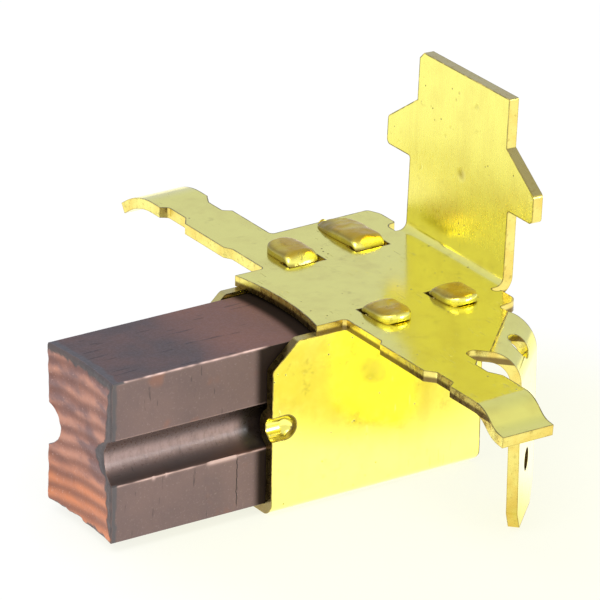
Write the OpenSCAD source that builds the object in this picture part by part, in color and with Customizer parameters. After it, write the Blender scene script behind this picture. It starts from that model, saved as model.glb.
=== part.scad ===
// Carbon brush with its sheet-brass holder.
// Frame: X runs from the contact face toward the spring, Y to the left arm, Z up.
// The origin is the middle of the box underside. Millimetres.
// Inside the modules X counts from the mouth of the box.

/* [Sheet] */
// thickness of the terminal plate
sheet = 0.8; // [0.7:0.05:0.9]
// thickness of the folded box
box_t = 0.7; // [0.6:0.05:0.8]
// inside radius of the box bends
box_bend = 0.3; // [0.2:0.05:0.5]

/* [Carbon] */
// width of the carbon across the box
carbon_w = 8.5; // [8:0.05:8.8]
// height of the carbon
carbon_h = 12.0; // [11.6:0.05:12.6]
// length of a new carbon from end to end
carbon_l = 19.3; // [18.6:0.1:20]
// length standing out of the box at rest
carbon_out = 12.7; // [12:0.05:13.2]
// radius worn on the long edges
carbon_edge = 0.2; // [0.1:0.05:0.4]
// radius of the commutator that has worn the contact face
comm_r = 28; // [20:1:40]
// number of ridges worn across the contact face
ridge_n = 10; // [6:1:12]
// depth of the ridges
ridge_d = 0.1; // [0.05:0.01:0.2]
// slope of the ridges across the face, degrees
ridge_tilt = 6; // [0:0.5:8]
// radius of the half-round groove along each side
groove_r = 1.8; // [1.7:0.05:1.95]
// depth of that groove below the side of the carbon
groove_d = 1.3; // [1.2:0.05:1.45]
// height of the groove above the underside of the carbon
groove_z = 6.0; // [5.6:0.05:6.4]
// bore for the tamped end of the shunt
shunt_bore = 2.4; // [2.1:0.1:3]
// depth of that bore
shunt_bore_l = 4.2; // [3:0.1:4.6]

/* [Box] */
// length of the box
box_l = 17.7; // [17.2:0.1:18.4]
// gap each side between carbon and box wall
side_gap = 0.1; // [0.08:0.01:0.2]
// gap under the carbon
floor_gap = 0.06; // [0.05:0.01:0.15]
// gap over the carbon
top_gap = 0.3; // [0.2:0.02:0.5]
// gap between the box walls and the plate that sits on them
seat_gap = 0.02; // [0.02:0.01:0.05]
// length of the chamfer at the upper corner of the mouth
mouth_x = 2.1; // [1.5:0.1:2.8]
// height of that chamfer
mouth_z = 1.95; // [1.5:0.05:2.6]
// radius of the lower rear corner of each wall
heel_r = 0.8; // [0.5:0.05:1.1]
// length of the stop lug pressed in at the mouth
lug_l = 1.1; // [0.8:0.05:1.3]
// radius of the hollow side of the lug
lug_r = 0.9; // [0.8:0.05:0.95]
// drop of the lug below the middle of the groove
lug_drop = 0.1; // [0:0.02:0.12]
// gap between the lug and the end of the groove at rest
lug_gap = 0.1; // [0.06:0.01:0.2]
// width of the spring seat folded up at the rear
flap_w = 7.4; // [6.8:0.1:7.6]
// top of the spring seat above the box underside
flap_top = 12.2; // [11:0.1:12.6]
// width of the reliefs beside the spring seat
flap_relief = 0.25; // [0.2:0.01:0.3]

/* [Clinch tabs] */
// width of every clinch tab
tab_w = 2.6; // [2.2:0.05:2.9]
// front edge of the front pair
tab_front_x = 7.5; // [7:0.1:8]
// front edge of the rear pair
tab_rear_x = 13.2; // [12.6:0.1:13.4]
// inside radius of the clinch bend
tab_bend = 0.3; // [0.25:0.05:0.4]
// gap between a clinched tab and the plate
tab_gap = 0.05; // [0.03:0.01:0.1]
// reach of the left front tab from the wall
reach_lf = 3.1; // [2.6:0.05:3.6]
// reach of the left rear tab from the wall
reach_lr = 3.9; // [3.2:0.05:4.4]
// reach of the right front tab from the wall
reach_rf = 2.85; // [2.4:0.05:3.2]
// reach of the right rear tab from the wall
reach_rr = 2.7; // [2.4:0.05:3.2]
// corner radius of the left front tab end
end_lf = 1.25; // [0.8:0.05:1.3]
// corner radius of the left rear tab end
end_lr = 0.7; // [0.4:0.05:1.2]
// corner radius of the right tab ends
end_r = 1.0; // [0.6:0.05:1.2]
// lift of the left tab ends, degrees
lift_left = 2; // [0:0.5:4]
// lift of the right tab ends, degrees
lift_right = 3; // [0:0.5:6]
// play of a tab in its slot at the front
slot_play = 0.1; // [0.06:0.01:0.15]
// play of a tab in its slot at the rear
slot_tail = 0.4; // [0.2:0.05:0.5]

/* [Plate] */
// half width of the tongue over the box
tongue_y = 5.2; // [5.1:0.05:5.6]
// hollow of the tongue front edge, at its middle
tongue_x = 4.05; // [3.6:0.05:4.4]
// radius of that hollow
tongue_r = 23; // [16:1:40]
// front edge of the arms at the root
arm_front = 5.85; // [5.5:0.05:6.1]
// rear edge of the arms at the root
arm_rear = 9.75; // [9.5:0.05:10.1]
// left edge of the plate behind the arm
plate_left = 10.2; // [9.9:0.05:10.6]
// rear edge of the plate on the left
plate_rear_l = 18.6; // [18.3:0.05:18.9]
// rear edge of the plate on the right, where the upright bends
plate_rear = 18.0; // [17.8:0.05:18.3]

/* [Arms] */
// front edge of the lug on each arm
arm_lug = 5.5; // [5.2:0.05:5.7]
// start of that lug from the middle plane
arm_lug_y0 = 9.6; // [9:0.1:10.4]
// end of that lug
arm_lug_y1 = 15.3; // [14.6:0.1:15.6]
// front edge of the neck
neck_front = 6.1; // [5.9:0.05:6.4]
// rear edge of the neck
neck_rear = 9.15; // [8.9:0.05:9.4]
// end of the neck from the middle plane
neck_y = 17.9; // [17.4:0.1:18.2]
// front edge of the arm ends
tip_front = 5.55; // [5.3:0.05:5.8]
// rear edge of the arm ends
tip_rear = 9.7; // [9.5:0.05:10]
// reach of the left arm from the middle plane
reach_left = 23.7; // [23.4:0.1:24.2]
// outside radius of that bend
left_bend_r = 6.4; // [5:0.1:8]
// angle of that bend
left_bend_a = 34; // [20:1:40]
// straight end after that bend
left_end_l = 0.7; // [0.2:0.05:1]
// reach of the right arm from the middle plane
reach_right = 24.7; // [24.3:0.1:25]
// outside radius of the first bend of the joggle
right_bend_r = 2.4; // [2:0.1:3]
// angle of the joggle
right_bend_a = 40; // [25:1:45]
// slope left at the end of the right arm
right_end_a = 6; // [0:1:12]
// straight run between the two bends
right_run_l = 0.6; // [0.3:0.05:0.8]
// inside radius of the second bend
right_bend2_r = 1.6; // [1.2:0.1:2]
// straight end of the right arm
right_end_l = 0.5; // [0.3:0.05:1]

/* [Upright] */
// half width of the upright below its barbs
stem_y = 6.05; // [5.7:0.05:6.3]
// half width across the barbs
barb_y = 9.0; // [8.4:0.05:9.4]
// half width above the barbs
head_y = 5.5; // [5.1:0.05:5.9]
// underside of the barbs above the plate
barb_z0 = 5.6; // [5.2:0.05:6]
// top of the upright edge of a barb
barb_z1 = 7.7; // [7.3:0.05:8.1]
// top of the sloping edge of a barb
barb_z2 = 10.1; // [9.6:0.05:10.5]
// height over all, from the box underside to the top of the upright
part_h = 27.6; // [27.2:0.1:28.2]
// inside radius of the bend at its foot
foot_bend = 0.6; // [0.4:0.05:0.9]
// lean of the upright away from the carbon, degrees
lean = 2; // [0:0.5:4]
// radius of the barb corners
barb_r = 0.4; // [0.2:0.05:0.6]
// cut corner at the left of the head
head_cut = 0.5; // [0.2:0.05:0.9]
// width of the relief beside the foot
relief_w = 1.3; // [1.1:0.05:1.5]
// radius of the relief at the other side of the foot
relief_r = 0.3; // [0.2:0.05:0.4]

/* [Blade] */
// width of the push-on blade
blade_w = 6.3; // [6.2:0.05:6.4]
// inside radius of the bend that turns the blade down
blade_bend = 1.5; // [1.4:0.05:1.8]
// bend line of the blade, measured square to it from the origin
blade_t = 18.5; // [18.2:0.05:18.8]
// middle of the blade, measured along the bend line
blade_s = 0.45; // [0.2:0.05:0.6]
// tip of the blade above the box underside
blade_tip = 0.25; // [0.1:0.05:0.6]
// hole in the blade
blade_hole = 1.6; // [1.4:0.05:1.8]
// middle of the hole above the tip
blade_hole_z = 4.35; // [4:0.05:4.6]
// width of the lead-in at each corner of the tip
lead_w = 1.05; // [0.6:0.05:1.3]
// height of that lead-in
lead_h = 1.5; // [0.8:0.05:1.8]
// extra width of the blade root on its rear side
root_extra = 0.9; // [0.4:0.05:1.1]
// hole on the bend line
bend_hole = 2.0; // [1.6:0.1:2.2]

/* [Spring and shunt] */
// outside diameter of the spring
spring_d = 6.6; // [5.8:0.1:7]
// wire of the spring
wire = 0.55; // [0.45:0.05:0.65]
// number of turns, closed ends included
turns = 6; // [5:1:6]
// gap at each end of the spring
spring_gap = 0.05; // [0.03:0.01:0.1]
// diameter of the shunt lead
shunt_d = 1.5; // [1.2:0.05:1.8]
// diameter of the weld pad on the spring seat
pad_d = 2.8; // [2.2:0.1:3.4]
// thickness of the weld pad
pad_t = 0.5; // [0.3:0.05:0.7]
// play round the tamped end of the shunt
bore_play = 0.05; // [0.03:0.01:0.1]

/* [Hidden] */
$fn = 48;
eps = 0.01;
lap = 0.05;
ridge_spare = 2;
far = 40;
box_iy = carbon_w / 2 + side_gap;
box_y = box_iy + box_t;
plate_z0 = box_t + floor_gap + carbon_h + top_gap;
plate_z = plate_z0 + sheet;
wall_top = plate_z0 - seat_gap;
carbon_z = box_t + floor_gap;
axis_z = carbon_z + carbon_h / 2;
groove_h = carbon_z + groove_z;
lug_h = groove_h - lug_drop;
carbon_end = carbon_l - carbon_out;
seat_x = box_l - box_t;
face_sag = comm_r - sqrt(comm_r * comm_r - carbon_w * carbon_w / 4);
lug_out = lug_r + box_t;
lug_off = 0.04;
groove_end = lug_l + sqrt(lug_out * lug_out - pow(box_y + lug_off - carbon_w / 2, 2)) + lug_gap;
left_bend_y = reach_left - left_bend_r * sin(left_bend_a) - left_end_l * cos(left_bend_a);
right_bend_y = reach_right - (right_bend_r + right_bend2_r) * sin(right_bend_a)
    - right_run_l * cos(right_bend_a) + right_bend2_r * sin(right_end_a) - right_end_l * cos(right_end_a);
head_z = foot_bend + (part_h - plate_z - foot_bend * (1 - sin(lean))) / cos(lean);
tab_zb = plate_z + tab_gap - tab_bend;
slot_out = box_y + tab_bend + slot_play;
leg_near = blade_s - blade_w / 2;
leg_far = blade_s + blade_w / 2;
blade_ro = blade_bend + sheet;
arm_leg_x = arm_rear - 0.15;
steel = [0.72, 0.74, 0.76];
brass = [0.90, 0.82, 0.38];
copper = [0.78, 0.48, 0.34];
graphite = [0.42, 0.33, 0.31];

function unit(v) = v / norm(v);
function toward(a, b) = unit([b[0] - a[0], b[1] - a[1]]);
function turn(a, b, c) = (b[0] - a[0]) * (c[1] - b[1]) - (b[1] - a[1]) * (c[0] - b[0]);
function half_angle(a, b, c) = acos(toward(b, a) * toward(b, c)) / 2;
function on_edge(b, to, r, h) = [b[0], b[1]] + toward(b, to) * r / tan(h);
function centre(a, b, c, h) = [b[0], b[1]] + unit(toward(b, a) + toward(b, c)) * b[2] / sin(h);
function corner(a, b, c) = b[2] == 0 ? [[b[0], b[1]]]
    : [on_edge(b, a, b[2], half_angle(a, b, c)), on_edge(b, c, b[2], half_angle(a, b, c))];
// position on the plate of a point given along and square to the blade bend line
function diag(s, t) = [(s + t) / sqrt(2), (s - t) / sqrt(2)];

// closed outline, counter-clockwise, each point [x, y, corner radius]
module outline(p) {
    n = len(p);
    difference() {
        union() {
            polygon([for (i = [0:n - 1]) each corner(p[(i + n - 1) % n], p[i], p[(i + 1) % n])]);
            for (i = [0:n - 1]) {
                if (p[i][2] > 0 && turn(p[(i + n - 1) % n], p[i], p[(i + 1) % n]) > 0) {
                    arc_at(p[(i + n - 1) % n], p[i], p[(i + 1) % n]);
                }
            }
        }
        for (i = [0:n - 1]) {
            if (p[i][2] > 0 && turn(p[(i + n - 1) % n], p[i], p[(i + 1) % n]) < 0) {
                arc_at(p[(i + n - 1) % n], p[i], p[(i + 1) % n]);
            }
        }
    }
}

module arc_at(a, b, c) {
    translate(centre(a, b, c, half_angle(a, b, c))) circle(r = b[2]);
}

// a flat shape drawn in the Y-Z plane, pulled along X from 0
module along_x(l) {
    rotate([90, 0, 90]) linear_extrude(l) children();
}

// a flat shape drawn in the X-Z plane, pulled both ways along Y
module along_y(l) {
    translate([0, l / 2, 0]) rotate([90, 0, 0]) linear_extrude(l) children();
}

// bent strip w wide about the X axis, from angle a0 to a0 + a in the Y-Z plane
module bend(w, ri, a0, a, t) {
    rotate([90, 0, 90]) rotate([0, 0, a0]) rotate_extrude(angle = a, $fn = 96) {
        translate([ri, 0]) square([t, w]);
    }
}

// ---- carbon ----
module carbon_brush() {
    color(graphite) difference() {
        translate([-carbon_out, 0, 0]) along_x(carbon_l) carbon_section();
        groove_cut(1);
        groove_cut(-1);
        contact_cut();
        translate([carbon_end - shunt_bore_l, 0, axis_z]) rotate([0, 90, 0]) {
            cylinder(d = shunt_bore, h = shunt_bore_l + 1);
        }
    }
}

module carbon_section() {
    outline([
        [-carbon_w / 2, carbon_z, carbon_edge],
        [carbon_w / 2, carbon_z, carbon_edge],
        [carbon_w / 2, carbon_z + carbon_h, carbon_edge],
        [-carbon_w / 2, carbon_z + carbon_h, carbon_edge]
    ]);
}

module groove_cut(side) {
    translate([-carbon_out - 1, side * (carbon_w / 2 + groove_r - groove_d), groove_h]) {
        rotate([0, 90, 0]) cylinder(r = groove_r, h = carbon_out + 1 + groove_end);
    }
}

// the round face that the contact face is cut to, with its level crests
module contact_cut() {
    step = carbon_h / ridge_n;
    flat = 0.25;
    rise = ridge_spare * step;
    translate([face_sag - carbon_out - comm_r, 0, axis_z]) rotate([-ridge_tilt, 0, 0]) {
        translate([0, 0, -carbon_h / 2]) rotate_extrude($fn = 192) polygon(concat(
            [[comm_r - 3, -rise - 1], [comm_r, -rise - 1]],
            [for (i = [-ridge_spare:ridge_n - 1 + ridge_spare]) each [
                [comm_r, (i + flat / 2) * step],
                [comm_r + ridge_d, (i + flat) * step],
                [comm_r + ridge_d, (i + 1 - flat) * step],
                [comm_r, (i + 1 - flat / 2) * step]
            ]],
            [[comm_r, carbon_h + rise + 1], [comm_r - 3, carbon_h + rise + 1]]
        ));
    }
}

// ---- box ----
module brush_box() {
    color(brass) union() {
        difference() {
            union() {
                intersection() {
                    along_x(box_l) channel_section();
                    along_y(far) wall_side();
                }
                lug(1);
                lug(-1);
            }
            lug_form(1, lug_r, 1);
            lug_form(-1, lug_r, 1);
            seat_relief();
        }
        spring_seat();
        tab(1, tab_front_x, reach_lf, end_lf, lift_left);
        tab(1, tab_rear_x, reach_lr, end_lr, lift_left);
        tab(-1, tab_front_x, reach_rf, end_r, lift_right);
        tab(-1, tab_rear_x, reach_rr, end_r, lift_right);
    }
}

module channel_section() {
    difference() {
        outline([
            [-box_y, 0, box_bend + box_t],
            [box_y, 0, box_bend + box_t],
            [box_y, wall_top, 0],
            [-box_y, wall_top, 0]
        ]);
        outline([
            [-box_iy, box_t, box_bend],
            [box_iy, box_t, box_bend],
            [box_iy, wall_top + 1, 0],
            [-box_iy, wall_top + 1, 0]
        ]);
    }
}

module wall_side() {
    outline([
        [0, 0, 0],
        [box_l, 0, heel_r],
        [box_l, wall_top, 0.4],
        [mouth_x, wall_top, 0.5],
        [0, wall_top - mouth_z, 0.5]
    ]);
}

// stop lug: the wall pressed inward as a round-ended channel at the mouth
module lug(side) {
    intersection() {
        lug_form(side, lug_out, 0);
        translate([0, side > 0 ? 0 : -box_y, 0]) cube([lug_l + 3, box_y, wall_top]);
    }
}

module lug_form(side, r, before) {
    translate([0, side * (box_y + lug_off), lug_h]) {
        translate([-before, 0, 0]) rotate([0, 90, 0]) cylinder(r = r, h = lug_l + before);
        translate([lug_l, 0, 0]) rotate([0, 90, 0]) sphere(r = r);
    }
}

module seat_relief() {
    hw = flap_w / 2 + flap_relief;
    translate([box_l - 2 * (box_bend + box_t), -hw, -1]) {
        cube([far, 2 * hw, 1 + box_t + box_bend]);
    }
}

// spring seat: floor strip, bend and upstanding flap
module spring_seat() {
    x0 = box_l - box_bend - box_t;
    start = box_l - 2 * (box_bend + box_t) - 1;
    translate([start, -flap_w / 2, 0]) cube([x0 - start + lap, flap_w, box_t]);
    translate([x0, flap_w / 2, box_bend + box_t]) rotate([0, 0, -90]) {
        bend(flap_w, box_bend, -90, 90, box_t);
    }
    translate([seat_x, 0, 0]) along_x(box_t) outline([
        [-flap_w / 2, box_bend + box_t - lap, 0],
        [flap_w / 2, box_bend + box_t - lap, 0],
        [flap_w / 2, flap_top, 1],
        [-flap_w / 2, flap_top, 1]
    ]);
}

// clinch tab: up out of the wall, over a bend and out across the plate
module tab(side, x0, reach, end, lift) {
    mirror([0, side > 0 ? 0 : 1, 0]) translate([x0, 0, 0]) intersection() {
        translate([-1, 0, 0]) along_x(tab_w + 2) difference() {
            under_tab(lift, tab_bend + box_t, 0);
            under_tab(lift, tab_bend, 2);
        }
        translate([0, 0, wall_top - 2]) linear_extrude(far) outline([
            [0, box_iy - 1, 0],
            [tab_w, box_iy - 1, 0],
            [tab_w, box_y + reach, end],
            [0, box_y + reach, end]
        ]);
    }
}

// all that lies under a line at r out from the bend axis of a tab
module under_tab(lift, r, more) {
    near = box_y + tab_bend - r;
    outline([
        [near, wall_top - 1 - more, 0],
        [far / 2 + more, wall_top - 1 - more, 0],
        [far / 2 + more, tab_line(far / 2 + more, r, lift), 0],
        [near, tab_line(near, r, lift), r]
    ]);
}

function tab_line(y, r, lift) = tab_zb + r * cos(lift) + (y - box_y - tab_bend + r * sin(lift)) * tan(lift);

// ---- terminal plate ----
module terminal_plate() {
    color(brass) difference() {
        union() {
            translate([0, 0, plate_z0]) linear_extrude(sheet) plate_shape();
            left_end();
            right_end();
            upright();
            at_blade() blade();
        }
        at_blade() rotate([-45, 0, 0]) cylinder(d = bend_hole, h = blade_ro + 1);
    }
}

module plate_shape() {
    difference() {
        plate_blank();
        translate([tongue_x - tongue_r, 0]) circle(r = tongue_r, $fn = 256);
        for (side = [-1, 1]) {
            tab_slot(side, tab_front_x);
            tab_slot(side, tab_rear_x);
        }
        translate([plate_rear - 0.15, -stem_y - relief_r]) circle(r = relief_r + 0.05);
    }
}

module tab_slot(side, x0) {
    y0 = box_iy - slot_play;
    translate([x0 - slot_play, side > 0 ? y0 : -slot_out]) {
        square([tab_w + slot_play + slot_tail, slot_out - y0]);
    }
}

module plate_blank() {
    near = diag(leg_near, blade_t + lap);
    root = diag(leg_far + root_extra, blade_t + lap);
    fork = [arm_leg_x, leg_near * sqrt(2) - arm_leg_x];
    outline([
        [tongue_x - 1, -tongue_y, 0],
        [arm_front, -tongue_y, 0.3],
        [arm_front, -arm_lug_y0, 0],
        [arm_lug, -arm_lug_y0 - 0.4, 0],
        [arm_lug, -arm_lug_y1, 0],
        [neck_front, -arm_lug_y1 - 0.7, 0.3],
        [neck_front, -neck_y, 0.3],
        [tip_front, -neck_y - 0.45, 0],
        [tip_front, -right_bend_y + 0.5, 0],
        [tip_rear, -right_bend_y + 0.5, 0],
        [tip_rear, -neck_y - 0.8, 0],
        [neck_rear, -neck_y + 0.2, 0.3],
        [neck_rear, -arm_lug_y1 - 1.0, 0.3],
        [arm_leg_x, -arm_lug_y1 - 0.5, 0],
        [fork[0], fork[1], 0.55],
        [near[0], near[1], 0],
        [root[0], root[1], 0],
        [16.2, -9.05, 0.25],
        [plate_rear, -8.65, 0.9],
        [plate_rear, -stem_y - relief_r, 0],
        [plate_rear - 0.3, -stem_y - relief_r, 0],
        [plate_rear - 0.3, stem_y + relief_w, 0.6],
        [plate_rear_l, stem_y + relief_w, 0.25],
        [plate_rear_l, 9.3, 1],
        [plate_rear_l - 0.45, plate_left + 0.15, 0.4],
        [arm_rear, plate_left, 0.35],
        [arm_rear, arm_lug_y1, 0],
        [neck_rear, arm_lug_y1 + 0.45, 0.3],
        [neck_rear, neck_y - 0.4, 0.3],
        [tip_rear, neck_y + 0.7, 0],
        [tip_rear, left_bend_y - 0.5, 0],
        [tip_front, left_bend_y - 0.5, 0],
        [tip_front, neck_y + 0.6, 0],
        [neck_front, neck_y + 0.2, 0.3],
        [neck_front, arm_lug_y1 + 0.6, 0.3],
        [arm_lug, arm_lug_y1 - 0.3, 0],
        [arm_lug, arm_lug_y0 + 0.3, 0],
        [arm_front, arm_lug_y0 - 0.3, 0],
        [arm_front, tongue_y, 0.3],
        [tongue_x - 1, tongue_y, 0]
    ]);
}

module left_end() {
    translate([tip_front, left_bend_y, plate_z - left_bend_r]) along_x(tip_rear - tip_front) {
        intersection() {
            difference() {
                under_bend(left_bend_r, 2);
                under_bend(left_bend_r - sheet, 3);
            }
            end_cut(left_bend_a, left_bend_r, left_end_l);
        }
    }
}

// all that lies under a surface that runs level and bends down at radius r, from the bend axis
module under_bend(r, more) {
    h = left_bend_a / 2;
    last = polar(left_bend_a, r, left_end_l + more);
    outline([
        [-more, -3, 0],
        [last[0], -3, 0],
        [last[0], last[1], 0],
        [r * tan(h), r, r],
        [-more, r, 0]
    ]);
}

// point at r out from the bend axis and l on along the sheet, after a turn by a
function polar(a, r, l) = [r * sin(a) + l * cos(a), r * cos(a) - l * sin(a)];

// what is kept of a strip that ends square to its own slope a
module end_cut(a, r, l) {
    polygon([
        [-1, r + 1],
        [-1, r - sheet - 1],
        polar(a, r - sheet - 1, l),
        polar(a, r + 1, l)
    ]);
}

module right_end() {
    mirror([0, 1, 0]) translate([tip_front, right_bend_y, plate_z - right_bend_r]) {
        along_x(tip_rear - tip_front) intersection() {
            difference() {
                under_joggle(0, 2);
                under_joggle(sheet, 3);
            }
            joggle_cut();
        }
    }
}

function joggle_end(d, l) = polar(right_bend_a, right_bend_r + right_bend2_r, right_run_l)
    - polar(right_end_a, right_bend2_r + d, 0) + polar(right_end_a, 0, l);

// all that lies under the joggle, d below its upper surface
module under_joggle(d, more) {
    r = right_bend_r - d;
    on = right_run_l + (right_bend2_r + d) * tan((right_bend_a - right_end_a) / 2);
    low = polar(right_bend_a, r, on);
    last = joggle_end(d, right_end_l + more);
    outline([
        [-more, -3, 0],
        [last[0], -3, 0],
        [last[0], last[1], 0],
        [low[0], low[1], right_bend2_r + d],
        [r * tan(right_bend_a / 2), r, r],
        [-more, r, 0]
    ]);
}

module joggle_cut() {
    polygon([
        [-1, right_bend_r + 1],
        [-1, right_bend_r - sheet - 2],
        joggle_end(sheet + 1, right_end_l),
        joggle_end(-2, right_end_l)
    ]);
}

// foot strip, bend and leaning sheet are one side view, cut to the shape of the upright
module upright() {
    intersection() {
        along_y(far) upright_side();
        translate([plate_rear, 0, plate_z + foot_bend]) rotate([0, lean, 0]) {
            translate([-2 - foot_bend, 0, 0]) along_x(foot_bend + sheet + 6) upright_shape();
        }
    }
}

// where the straight side at distance r from the bend axis meets the flat
function foot_x(r) = plate_rear + r * (1 - sin(lean)) / cos(lean);
// top end of that straight side
function top_at(r, more) = [
    plate_rear + r * cos(lean) + (head_z + more) * sin(lean),
    plate_z + foot_bend - r * sin(lean) + (head_z + more) * cos(lean)
];

module upright_side() {
    difference() {
        behind_foot(foot_bend + sheet, 2);
        behind_foot(foot_bend, 3);
    }
}

// all that lies over and in front of a surface that turns up at distance r from the bend axis
module behind_foot(r, more) {
    top = top_at(r, more);
    outline([
        [plate_rear - more, plate_z + foot_bend - r, 0],
        [foot_x(r), plate_z + foot_bend - r, r],
        [top[0], top[1], 0],
        [plate_rear - more, top[1], 0]
    ]);
}

module upright_shape() {
    z = -foot_bend;
    outline([
        [-stem_y, z - sheet - 1, 0],
        [stem_y, z - sheet - 1, 0],
        [stem_y, barb_z0 + z, 0.2],
        [barb_y, barb_z0 + z, barb_r],
        [barb_y, barb_z1 + z, barb_r],
        [head_y, barb_z2 + z, 0],
        [head_y, head_z - head_cut + z, 0],
        [head_y - head_cut, head_z + z, 0],
        [-head_y, head_z + z, 0.1],
        [-head_y, barb_z2 + z, 0],
        [-barb_y, barb_z1 + z, barb_r],
        [-barb_y, barb_z0 + z, barb_r],
        [-stem_y, barb_z0 + z, 0.2]
    ]);
}

// the middle of the blade bend, with Y square to the bend line
module at_blade() {
    base = diag(blade_s, blade_t);
    translate([base[0], base[1], plate_z - blade_ro]) rotate([0, 0, -135]) children();
}

module blade() {
    edge = -blade_w / 2;
    difference() {
        translate([edge - root_extra, 0, 0]) bend(blade_w + root_extra, blade_bend, 0, 90, sheet);
        translate([0, 0, -1]) linear_extrude(blade_ro + 2) polygon([
            [edge - root_extra, 0],
            [edge, blade_ro],
            [edge, blade_ro + 1],
            [edge - root_extra - 1, blade_ro + 1],
            [edge - root_extra - 1, 0]
        ]);
    }
    translate([0, blade_ro, blade_ro - plate_z]) rotate([90, 0, 0]) linear_extrude(sheet) {
        blade_shape();
    }
}

module blade_shape() {
    difference() {
        outline([
            [-blade_w / 2 + lead_w, blade_tip, 0.2],
            [blade_w / 2 - lead_w, blade_tip, 0.2],
            [blade_w / 2, blade_tip + lead_h, 0.5],
            [blade_w / 2, plate_z - blade_ro + lap, 0],
            [-blade_w / 2, plate_z - blade_ro + lap, 0],
            [-blade_w / 2, blade_tip + lead_h, 0.5]
        ]);
        translate([0, blade_tip + blade_hole_z]) circle(d = blade_hole);
    }
}

// ---- spring and shunt ----
function coil_x(a, l) = let (
    closed = 360,
    all = turns * 360,
    open = l - 3 * wire,
    mid = (a - closed) / (all - 2 * closed)
) a < closed ? wire / 2 + wire * a / closed
    : a > all - closed ? l - wire / 2 - wire * (all - a) / closed
    : wire * 1.5 + open * mid;

module pressure_spring() {
    l = seat_x - carbon_end - 2 * spring_gap;
    seg = 24;
    sides = 8;
    n = turns * seg;
    cr = (spring_d - wire) / 2;
    pts = [for (i = [0:n]) for (j = [0:sides - 1]) let (
        a = 360 * i / seg,
        b = 360 * j / sides,
        r = cr + wire / 2 * cos(b)
    ) [coil_x(a, l) + wire / 2 * sin(b), r * cos(a), r * sin(a)]];
    faces = concat(
        [[for (j = [0:sides - 1]) j]],
        [[for (j = [sides - 1:-1:0]) n * sides + j]],
        [for (i = [0:n - 1]) for (j = [0:sides - 1]) [
            i * sides + j,
            (i + 1) * sides + j,
            (i + 1) * sides + (j + 1) % sides,
            i * sides + (j + 1) % sides
        ]]
    );
    color(steel) translate([carbon_end + spring_gap, 0, axis_z]) {
        polyhedron(points = pts, faces = faces, convexity = 8);
    }
}

module shunt_lead() {
    slug = shunt_bore - 2 * bore_play;
    start = carbon_end - shunt_bore_l + bore_play;
    color(copper) translate([start, 0, axis_z]) rotate([0, 90, 0]) union() {
        cylinder(d = slug, h = shunt_bore_l - 2 * bore_play);
        cylinder(d = shunt_d, h = seat_x - start - bore_play);
        translate([0, 0, seat_x - start - bore_play - pad_t]) cylinder(d = pad_d, h = pad_t);
    }
}

// from the mouth of the box to the middle of its underside
module placed() {
    translate([-box_l / 2, 0, 0]) children();
}

placed() carbon_brush();
placed() brush_box();
placed() terminal_plate();
placed() pressure_spring();
placed() shunt_lead();
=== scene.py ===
"""Carbon brush in its brass holder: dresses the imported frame, sets the stage and the camera."""

import math
from contextlib import contextmanager

import bmesh
import bpy
import numpy as np
from bpy.props import FloatProperty, FloatVectorProperty, IntProperty, PointerProperty
from mathutils import Matrix, Vector
from mathutils.bvhtree import BVHTree


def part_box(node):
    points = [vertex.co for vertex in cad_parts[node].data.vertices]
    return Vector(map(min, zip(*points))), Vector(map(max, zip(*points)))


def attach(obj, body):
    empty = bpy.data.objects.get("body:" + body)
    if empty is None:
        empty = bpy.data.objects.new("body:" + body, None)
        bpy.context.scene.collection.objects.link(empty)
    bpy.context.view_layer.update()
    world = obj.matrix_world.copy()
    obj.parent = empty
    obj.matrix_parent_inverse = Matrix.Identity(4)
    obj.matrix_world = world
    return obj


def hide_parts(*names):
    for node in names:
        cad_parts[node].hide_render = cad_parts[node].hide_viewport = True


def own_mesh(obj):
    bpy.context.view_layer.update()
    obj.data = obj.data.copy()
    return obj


bl_info = {
    "name": "Carbon Brush and Holder",
    "version": (1, 1, 0),
    "blender": (4, 5, 0),
    "location": "View3D > Sidebar > Carbon Brush",
    "description": "Dresses a carbon brush and its folded brass holder",
    "category": "Object",
}

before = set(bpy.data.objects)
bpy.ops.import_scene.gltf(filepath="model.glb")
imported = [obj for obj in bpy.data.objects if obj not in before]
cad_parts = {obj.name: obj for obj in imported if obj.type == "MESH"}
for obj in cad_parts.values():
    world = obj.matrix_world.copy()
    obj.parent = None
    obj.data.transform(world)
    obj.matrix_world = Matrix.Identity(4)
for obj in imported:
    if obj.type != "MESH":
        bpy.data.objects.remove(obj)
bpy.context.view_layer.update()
MM = 0.001
CARBON_LO, CARBON_HI = (np.array(c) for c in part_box("carbon_brush"))
BOX_LO, BOX_HI = (np.array(c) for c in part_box("brush_box"))
PLATE_LO, PLATE_HI = (np.array(c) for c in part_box("terminal_plate"))
SPRING_LO, SPRING_HI = (np.array(c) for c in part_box("pressure_spring"))
LEAD_LO, LEAD_HI = (np.array(c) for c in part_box("shunt_lead"))
MOUTH_X = BOX_LO[0]  # front of the box
SEAT_X = LEAD_HI[0]  # front of the spring seat
AXIS_Z = (CARBON_LO[2] + CARBON_HI[2]) / 2
BOX_SHEET = 0.7 * MM
PLATE_SHEET = 0.8 * MM
PLATE_UNDER = CARBON_HI[2] + 0.3 * MM
PLATE_TOP = PLATE_UNDER + PLATE_SHEET
WALL_TOP = PLATE_UNDER - 0.02 * MM
WALL_IN = CARBON_HI[1] + 0.1 * MM  # inner side of the box walls
WALL_OUT = WALL_IN + BOX_SHEET
TONGUE_HOLLOW = 4.05 * MM  # the plate's hollow front edge, at its middle, behind the mouth
TONGUE_R = 23 * MM  # radius of that hollow
BLADE_HOLE = (MOUTH_X + 14.74 * MM, -14.10 * MM, 4.6 * MM)
TAB_WIDTH = 2.6 * MM
DRAWN_CORNER = (MOUTH_X + 13.0 * MM, 8.9 * MM, PLATE_TOP + 0.3 * MM)  # end of the left rear tab
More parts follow.
